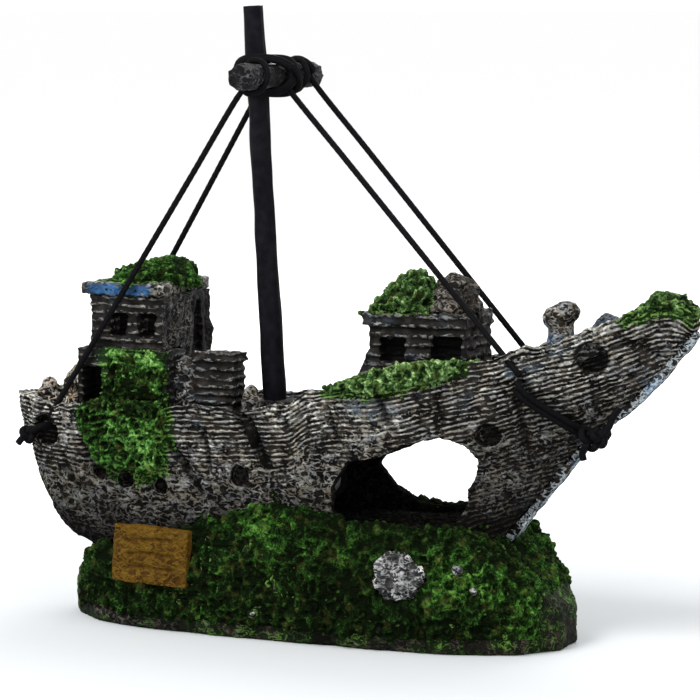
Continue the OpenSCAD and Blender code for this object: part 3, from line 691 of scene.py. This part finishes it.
def moss_material(name, dark, middle, bright, fresh):
    g = Graph(name, 0.03)
    speck = g.noise(0.5, 4.0, 0.7)
    net = g.calc("ABSOLUTE", g.calc("SUBTRACT", g.noise(1.0, 2.0, 0.5, None, 0.4), 0.5))
    net = g.ramp(net, (0.0, 1.0), (0.16, 0.0))
    level = g.calc("ADD", g.calc("MULTIPLY", g.field("tuft"), 0.75), g.calc("MULTIPLY", net, 0.30))
    grit = g.calc("MULTIPLY", g.calc("SUBTRACT", speck, 0.5), 1.5)
    level = g.calc("ADD", g.calc("SUBTRACT", level, 0.12), grit)
    # The bright field lifts the colour: painted light along the stern moss's top edge, elsewhere brighter
    # moss.
    lit_and_brighter = g.calc("MULTIPLY", g.calc("SUBTRACT", g.field("bright"), 0.5), 0.5)
    level = g.calc("ADD", level, lit_and_brighter, clamp=True)
    colour = g.ramp(level, (0.12, dark), (0.42, middle), (0.70, bright), (0.95, fresh))
    dry = g.calc("MULTIPLY", g.ramp(g.noise(2.6, 4.0, 0.6), (0.55, 0.0), (0.70, 0.8)),
                 g.ramp(level, (0.2, 0.3), (0.8, 1.0)))
    colour = g.mix(dry, colour, (0.075, 0.085, 0.020))
    g.set("Base Color", colour)
    g.set("Roughness", 0.95)
    g.bump(g.calc("ADD", g.calc("MULTIPLY", net, 0.6), speck), 0.9, 0.35)
    return g.material


def plain(name, colour, other, roughness, grain_mm, bump=0.3, depth_mm=0.1, shine=0.04, **sockets):
    """A two-tone moulded or painted finish with fine surface grain."""
    g = Graph(name, shine)
    g.set("Base Color", g.mix(g.ramp(g.noise(grain_mm * 4, 4.0), (0.35, 0.0), (0.70, 1.0)), colour, other))
    g.set("Roughness", g.ramp(g.noise(grain_mm * 2), (0.3, roughness - 0.08), (0.7, roughness + 0.08)))
    for socket, value in sockets.items():
        g.set(socket.replace("_", " "), value)
    g.bump(g.noise(grain_mm, 3.0), bump, depth_mm)
    return g.material


HULL = weathered("hull_wood", (0.160, 0.165, 0.166), (0.180, 0.160, 0.125), (0.52, 0.52, 0.48), 0.355,
                 under=(0.022, 0.019, 0.016), blue=(0.060, 0.095, 0.130), shine=0.0)
TIMBER = weathered("castle_timber", (0.118, 0.123, 0.125), (0.122, 0.112, 0.094), (0.36, 0.36, 0.34), 0.53,
                   under=(0.022, 0.019, 0.017), blue=(0.050, 0.085, 0.120))
CORNICE = weathered("blue_cornice", (0.150, 0.155, 0.152), (0.160, 0.145, 0.115), (0.42, 0.43, 0.40), 0.44,
                    blue=(0.030, 0.110, 0.260), lines=False, wash=0.30)
STEM = weathered("stem_paint", (0.30, 0.36, 0.40), (0.24, 0.27, 0.28), (0.62, 0.68, 0.70), 0.34, lines=False)
ROCK = weathered("rock", (0.070, 0.068, 0.058), (0.085, 0.070, 0.050), (0.16, 0.15, 0.12), 0.60, lines=False)
STONE = weathered("deck_stone", (0.165, 0.175, 0.180), (0.150, 0.130, 0.100), (0.42, 0.42, 0.40), 0.44,
                  lines=False)
CRAG = weathered("castle_crag", (0.120, 0.118, 0.110), (0.135, 0.110, 0.080), (0.34, 0.32, 0.28), 0.54,
                 lines=False)
RUBBLE = weathered("rubble", (0.36, 0.34, 0.30), (0.30, 0.21, 0.12), (0.74, 0.71, 0.66), 0.36, lines=False)
MOSS = moss_material("moss", (0.002, 0.004, 0.001), (0.006, 0.018, 0.003), (0.024, 0.078, 0.010),
                     (0.10, 0.22, 0.04))
DEEP_MOSS = moss_material("deep_moss", (0.002, 0.004, 0.001), (0.010, 0.030, 0.005),
                          (0.050, 0.150, 0.026), (0.22, 0.38, 0.11))
BRIGHT_MOSS = moss_material("bright_moss", (0.002, 0.004, 0.001), (0.014, 0.034, 0.008),
                            (0.080, 0.150, 0.045), (0.32, 0.44, 0.19))
CORD = plain("elastic", (0.0025, 0.0025, 0.003), (0.005, 0.005, 0.0055), 0.70, 0.12, shine=0.02)
STICK = plain("black_stick", (0.0025, 0.0022, 0.0035), (0.006, 0.006, 0.008), 0.55, 0.4, 0.25, 0.15, 0.03)
BRANCH = weathered("charcoal", (0.055, 0.055, 0.062), (0.026, 0.026, 0.029), (0.17, 0.17, 0.19), 0.62,
                   under=(0.008, 0.008, 0.009), lines=False)
GLUE = plain("glue", (0.40, 0.41, 0.40), (0.72, 0.73, 0.72), 0.14, 0.8, 0.2, 0.2, 0.6, Coat_Weight=0.6)
OCHRE = weathered("ochre_plate", (0.080, 0.042, 0.004), (0.088, 0.048, 0.006), (0.13, 0.072, 0.010), 0.12,
                  shadow=(0.028, 0.011, 0.001), under=(0.066, 0.034, 0.004), lines=False)
WHITE = weathered("white_stone", (0.36, 0.37, 0.37), (0.50, 0.50, 0.49), (0.74, 0.74, 0.73), 0.42,
                  shadow=(0.012, 0.012, 0.012), under=(0.07, 0.07, 0.07), lines=False)
GREY_PLASTIC = plain("spigot_plastic", (0.42, 0.44, 0.45), (0.50, 0.52, 0.53), 0.30, 0.5, 0.12, 0.05, 0.5)
RUBBER = plain("rubber", (0.012, 0.012, 0.012), (0.022, 0.022, 0.022), 0.70, 0.3, 0.3, 0.08)
POROUS = weathered("porous_stone", (0.20, 0.34, 0.50), (0.26, 0.40, 0.54), (0.5, 0.6, 0.7), 0.30,
                   shadow=(0.03, 0.06, 0.10), under=(0.05, 0.09, 0.14), lines=False)


# --------------------------------------------------------------------------------------------------
# Hull, castles and stones

def build_ship():
    sculpt("hull_shell", 0.28, hull_shape, HULL, rounding=2)
    sculpt("main_deck", 0.5, timber_shape(1.6, 9, 0.7), TIMBER, rounding=1)
    sculpt("stem_post", 0.25, timber_shape(1.0, 12, 0.5, 0.5, 0.5, (0, 1, 0)), STEM,
           rounding=1)
    sculpt("stern_tower", 0.28, tower_shape, TIMBER, rounding=3)
    sculpt("tower_roof", 0.25, roof_shape, CORNICE, rounding=3)
    sculpt("stern_deckhouse", 0.28, house_shape, TIMBER, rounding=3)
    sculpt("step_block", 0.28, step_shape, TIMBER, rounding=3)
    sculpt("fore_castle", 0.28, castle_shape, TIMBER, rounding=3)
    sculpt("castle_lump", 0.28, crag_shape, CRAG)
    sculpt("mast_step", 0.35, rock_shape(2.0, 0.4, 27), TIMBER, rounding=2)
    sculpt("mooring_post", 0.28, rock_shape(3.2, 0.9, 28, 0.5, 0.35, 0.4, 0.5), STONE)
    sculpt("deck_boulder", 0.28, rock_shape(2.8, 0.8, 29, 0.4, 0.2, 1.0), STONE)
    sculpt("foredeck_stone", 0.28, rock_shape(2.4, 0.9, 30, 0.4, 0.2, 0.5, 0.4, near_moss), STONE)
    sculpt("stern_rubble", 0.28, rock_shape(2.2, 1.2, 31, 0.5, 0.1, 1.0), RUBBLE)


def sign_shape(p, n):
    """A hand-cut plate with rounded edges and a few worn grooves."""
    height, fields = rock_shape(5.0, 0.35, 43, 0.25, 0.2)(p, n)
    face = step(0.3, 0.8, n[:, 1] * NEAR)
    sway = 0.5 * noise(p, 5, 49)
    grooves = sum(np.exp(-((p[:, 2] - z + sway) / 0.45) ** 2) for z in (12.6, 15.8, 19))
    grooves = grooves * step(-41, -39, p[:, 0]) * step(-28.4, -30, p[:, 0]) * face
    # Painted shade in the grooves.
    fields["dark"] = np.clip(0.45 * grooves, 0, 1)
    moved = n * (height - 0.45 * grooves)[:, None]
    moved[:, 2] -= 0.13 * (p[:, 2] - 15.6)
    return moved, fields


def chip_shape(p, n):
    """Small worn chips, half sunk in the moss."""
    height, fields = rock_shape(1.0, 0.5, 45, 0.4, 0.5, 0.4, 0.0, lambda q: 0.35)(p, n)
    return height - 0.35, fields


def build_mound():
    sculpt("base_rock", 0.42, mound_shape, ROCK, rounding=3)
    sculpt("base_moss", 0.34, moss_shape(1.25, 42, 1.7, mound_light), MOSS, rounding=2)
    sculpt("sign_plate", 0.25, sign_shape, OCHRE, rounding=5)
    sculpt("white_stone", 0.22, rock_shape(1.6, 0.9, 44, 1.0, 0.42, 0.8), WHITE, rounding=2)
    sculpt("quartz_chips", 0.2, chip_shape, WHITE, rounding=1)


def build_moss():
    sculpt("tower_moss", 0.25, tower_moss_shape, DEEP_MOSS, rounding=2)
    sculpt("stern_moss", 0.25, stern_moss_shape, DEEP_MOSS, rounding=2)
    for node, seed, bright, depth in (("castle_moss", 52, 0.55, 1.3), ("bow_moss", 53, 0.45, 0.9),
                                      ("rail_moss", 54, 0.7, 1.0)):
        sculpt(node, 0.25, moss_shape(depth, seed, 1.5, bright), BRIGHT_MOSS, rounding=2)


# A crumb is a 20-sided lump; its faces go round its 12 corners.
CRUMB_POINTS = np.array([(a, b * 1.618, 0) for a in (-1, 1) for b in (-1, 1)])
CRUMB_POINTS = np.vstack([CRUMB_POINTS, CRUMB_POINTS[:, (2, 0, 1)], CRUMB_POINTS[:, (1, 2, 0)]]) / 1.9
CRUMB_FACES = [(0, 8, 4), (0, 5, 10), (2, 4, 9), (2, 11, 5), (1, 6, 8), (1, 10, 7), (3, 9, 6), (3, 7, 11),
               (0, 10, 8), (1, 8, 10), (2, 9, 11), (3, 11, 9), (4, 2, 0), (5, 0, 2), (6, 1, 3), (7, 3, 1),
               (8, 6, 4), (9, 4, 6), (10, 5, 7), (11, 7, 5)]


def scatter_crumbs(name, node, hosts, count, spread, seed, material):
    """Loose moss crumbs stuck to the pieces round a patch, thinning out with distance."""
    rng = np.random.default_rng(seed)
    patch = tree_of(node)
    trees = [tree_of(h) for h in hosts]
    low, high = (np.array(v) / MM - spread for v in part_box(node))
    high = high + 2 * spread
    parts, made = [], 0
    for _ in range(count * 60):
        if made >= count:
            break
        q = Vector(rng.uniform(low, high) * MM)
        found = [t.find_nearest(q, 0.8 * MM) for t in trees]
        found = [h for h in found if h[0] is not None]
        if not found:
            continue
        place = found[0][0]
        gap = patch.find_nearest(place, spread * MM)[3]
        if gap is None or rng.random() < gap / MM / spread:
            continue
        size = rng.uniform(0.22, 0.55)
        parts.append((np.array(place) / MM + CRUMB_POINTS * size * rng.uniform(0.7, 1.3, 3), CRUMB_FACES))
        made += 1
    if not parts:
        return
    verts, faces = joined(parts)
    mesh = mesh_from(name, verts, faces)
    obj = new_piece(name, mesh, material)
    paint(mesh, tuft=0.5 + 0.5 * noise(verts, 1.0, seed), bright=0.6)


def build_crumbs():
    scatter_crumbs("crumbs_stern", "stern_moss", ["hull_shell", "stern_deckhouse"], 420, 2.2, 81, DEEP_MOSS)
    scatter_crumbs("crumbs_rail", "rail_moss", ["hull_shell", "fore_castle"], 260, 2.4, 82, BRIGHT_MOSS)
    scatter_crumbs("crumbs_castle", "castle_moss", ["fore_castle", "castle_lump"], 260, 2.6, 83, BRIGHT_MOSS)
    scatter_crumbs("crumbs_tower", "tower_moss", ["tower_roof", "stern_tower"], 300, 3.5, 84, DEEP_MOSS)
    scatter_crumbs("crumbs_bow", "bow_moss", ["hull_shell"], 200, 2.2, 85, BRIGHT_MOSS)
    scatter_crumbs("crumbs_mound", "base_moss", ["base_rock", "hull_shell"], 900, 2.0, 86, MOSS)


# --------------------------------------------------------------------------------------------------
# Mast and rigging

def build_spars():
    def stick(p, n):
        around = np.arctan2(p[:, 1], p[:, 0] + 18)
        height = (0.10 * np.cos(around * 3 + 0.4) + 0.10 * noise(p * (1, 1, 0.2), 1.2, 61)
                  + 0.12 * noise(p, 5, 62))
        return height * step(45.6, 47.5, p[:, 2]), {}

    def branch(p, n):
        height, fields = rock_shape(2.6, 0.8, 63, 0.4, 0.2, 0.2)(p * (1, 0.5, 1), n)
        return height, fields

    sculpt("mast", 0.3, stick, STICK, rounding=1, body="mast")
    sculpt("yard", 0.22, branch, BRANCH, rounding=2, body="mast")
    sculpt("lashing_glue", 0.15, rock_shape(1.6, 0.25, 68, 0.1), GLUE, body="mast")


YARD = np.array((-15.67, 0, 111.0))
YARD_WRAP = 3.3


def round_yard(*turns):
    """Points round the yard: (angle from the bow side, upwards; place along the yard)."""
    return [YARD + (YARD_WRAP * math.cos(math.radians(a)), y, YARD_WRAP * math.sin(math.radians(a)))
            for a, y in turns]


# Each stay: its foot in the rail, the point where it leaves the lashing, and its turns round the yard.
STAYS = {
    "stay_aft_near": ((-59.4, -15.2, 43), (-17.87, -13.6, 107.4),
                      round_yard((-100, -13.2), (-50, -12.6), (0, -12), (50, -11.2), (100, -10.4),
                                 (150, -9.8))),
    "stay_aft_far": ((-64.4, 13.6, 43), (-23.52, 4.2, 105),
                     [(-21.8, 4.1, 107.6), (-19.8, 4.4, 108.6)]
                     + round_yard((-110, 5), (-60, 5.8), (0, 6.6), (60, 7.2), (120, 7.6), (160, 7.8))),
    "stay_fore_near": ((40.2, -12.9, 55.8), (-13.07, -0.8, 108.4),
                       round_yard((-20, -1.1), (20, -1.5), (60, -2), (100, -2.4), (130, -2.6))),
    "stay_fore_far": ((34, 13.6, 54.8), (-12.87, 10.6, 109.6),
                      round_yard((20, 9.8), (60, 9), (100, 8.8), (150, 9), (200, 9.6))),
}


def cord_piece(name, node, paths, body=None, radius=0.6):
    verts, faces = joined([tube(path, radius, braid=0.03) for path in paths])
    obj = new_piece(name, mesh_from(name, verts, faces), CORD, body)
    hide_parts(node)
    return obj


def build_stays():
    for node, (foot, leave, turns) in STAYS.items():
        foot, leave = np.array(foot, float), np.array(leave, float)
        inside = foot + (foot - leave) / np.linalg.norm(foot - leave) * 1.2
        straight = [foot + (leave - foot) * t for t in (0.25, 0.5, 0.75)]
        path = curve([inside, foot, *straight, leave, *turns], 0.25)
        obj = cord_piece(node + "_cord", node, [path])
        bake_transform(obj)


def lashing(tilt, half, reach, offsets):
    """Turns round the mast and the yard together, in a slanted plane."""
    paths = []
    middle = np.array((-18.0, 0, 111.0))
    slant, normal = np.array((0, tilt, 1)) / math.sqrt(2), np.array((0, 1, -tilt)) / math.sqrt(2)
    count = 64 * len(offsets)
    angle = np.linspace(0.4, 0.4 + 2 * math.pi * len(offsets), count)
    c, s = np.cos(angle), np.sin(angle)
    a = np.sign(c) * np.abs(c) ** 0.8 * half
    b = np.sign(s) * np.abs(s) ** 0.8 * reach
    shift = np.interp(angle, np.linspace(angle[0], angle[-1], len(offsets)), offsets)
    paths.append(middle + a[:, None] * (1, 0, 0) + b[:, None] * slant + shift[:, None] * normal)
    return paths


def trefoil(centre, size, right, up):
    t = np.linspace(0, 2 * math.pi, 90)
    x, y, z = np.sin(t) + 2 * np.sin(2 * t), np.cos(t) - 2 * np.cos(2 * t), -1.3 * np.sin(3 * t)
    right, up = np.array(right, float), np.array(up, float)
    out = np.cross(right, up)
    return np.array(centre) + size * (x[:, None] * right + y[:, None] * up + z[:, None] * out)


def build_lashings():
    cord_piece("lashing_a", "yard_lashing_a", lashing(1, 5.7, 4.5, (-0.7, 0.1, 0.8)), "mast")
    cord_piece("lashing_b", "yard_lashing_b", lashing(-1, 6.5, 5.3, (-0.6, 0.6)), "mast")
    route = np.array([(40.6, -12.4, 53), (41.2, -14.6, 52.6), (42.6, -14, 50.8), (44.4, -12.2, 49),
                      (46.4, -10.1, 47.2), (48.4, -7.7, 45.4), (50.2, -5.3, 43.8), (51.8, -3.7, 42.4),
                      (53.4, -1.6, 41.4), (53.9, 0, 41.2), (53.4, 1.6, 41.4), (51.8, 3.7, 42.4),
                      (50.2, 5.2, 43.8)])
    beside = np.array((0.35, 0, 0.42))
    cord_piece("stem_rope", "stem_lashing", [curve(route + beside), curve(route[1:] - beside)], "hull", 0.58)
    knot = np.array((53.2, -5.4, 42.4))
    right, up = (0.914, 0.407, 0), (0, 0, 1)
    cord_piece("bow_knot", "stem_knot", [
        trefoil(knot, 0.72, right, up),
        trefoil(knot + (2.0, -0.4, 0.3), 0.55, right, up),
        curve([knot, knot + (2.4, -0.8, 0.6), knot + (3.8, -0.8, 2.4), knot + (4.6, -0.6, 4.4),
               knot + (5.6, 0, 6)]),
        curve([knot, knot + (-0.8, -1, -1.6), knot + (-1.6, -0.6, -3), knot + (-1.4, -0.4, -4.4)])],
        "hull", 0.68)
    tail = np.array((-65.8, -14.3, 37.6))
    cord_piece("aft_knot", "stern_knot", [
        trefoil(tail, 0.48, right, up),
        curve([(-61.2, -11.4, 39), (-62.6, -13.4, 39.4), (-64, -14.6, 38.8), tail]),
        curve([tail, tail + (-1.2, -0.8, -1), tail + (-2, -1, -2)])], "hull", 0.7)


# --------------------------------------------------------------------------------------------------
# Air fittings inside the hull

def show(node, material):
    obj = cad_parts[node]
    obj.data.materials.clear()
    obj.data.materials.append(material)


def build_air():
    show("air_spigot", GREY_PLASTIC)
    show("spigot_grommet", RUBBER)
    show("stone_bush", GREY_PLASTIC)
    sculpt("air_stone", 0.2, rock_shape(0.8, 0.12, 71, 0.2, 0.0), POROUS, rounding=1,
           body="air_stone")


build_ship()
build_mound()
build_moss()
build_crumbs()
build_spars()
build_stays()
build_lashings()
build_air()


# --------------------------------------------------------------------------------------------------
# Floor, light and camera

def area(name, place, aim, size, watts):
    light = bpy.data.lights.new(name, "AREA")
    light.shape, light.size, light.energy = "SQUARE", size, watts
    obj = bpy.data.objects.new(name, light)
    bpy.context.scene.collection.objects.link(obj)
    obj.location = place
    obj.rotation_mode = "QUATERNION"
    obj.rotation_quaternion = (Vector(aim) - Vector(place)).to_track_quat("-Z", "Y")


def floor_paint():
    """Pale floor paint, greyer round the object: painted shade there, so that its soft shadow shows."""
    g = Graph("floor_paint", 0.02)
    away = g.tree.nodes.new("ShaderNodeVectorMath")
    away.operation = "LENGTH"
    g.put(away.inputs[0], g.place)
    g.set("Base Color", g.ramp(g.calc("MULTIPLY", away.outputs["Value"], 2.5, True),
                               (0.22, (0.47, 0.485, 0.495)), (0.7, (0.90, 0.90, 0.90))))
    g.set("Roughness", 0.85)
    g.bump(g.noise(5), 0.2, 0.1)
    return g.material


def build_stage():
    far = 60000
    floor_mesh = mesh_from("floor", [(-far, -far, 0), (far, -far, 0), (far, far, 0), (-far, far, 0)],
                           [(0, 1, 2, 3)])
    floor = new_piece("floor", floor_mesh, floor_paint(), None)
    world = bpy.data.worlds.new("studio")
    bpy.context.scene.world = world
    world.use_nodes = True
    world.node_tree.nodes["Background"].inputs[0].default_value = (1, 1, 1, 1)
    world.node_tree.nodes["Background"].inputs[1].default_value = 1.1
    centre = (0, 0, 0.06)
    area("key", (-0.25, -0.55, 0.70), centre, 0.40, 9)
    area("fill", (0.60, -0.30, 0.35), centre, 0.50, 2)
    area("back", (0.0, 0.55, 0.60), centre, 0.6, 4)
    bpy.context.scene.view_settings.view_transform = "Standard"


def build_camera():
    away, azimuth, height = 0.6169, math.radians(24), 0.125
    data = bpy.data.cameras.new("camera")
    data.sensor_width, data.lens = 36, 36 * 3100 / 700
    data.clip_start, data.clip_end = 0.05, 200
    camera = bpy.data.objects.new("camera", data)
    bpy.context.scene.collection.objects.link(camera)
    place = Vector((away * math.sin(azimuth), -away * math.cos(azimuth), height))
    camera.location = place
    camera.rotation_mode = "QUATERNION"
    camera.rotation_quaternion = (Vector((0, 0, 0.0564)) - place).to_track_quat("-Z", "Y")
    bpy.context.scene.camera = camera


build_stage()
build_camera()
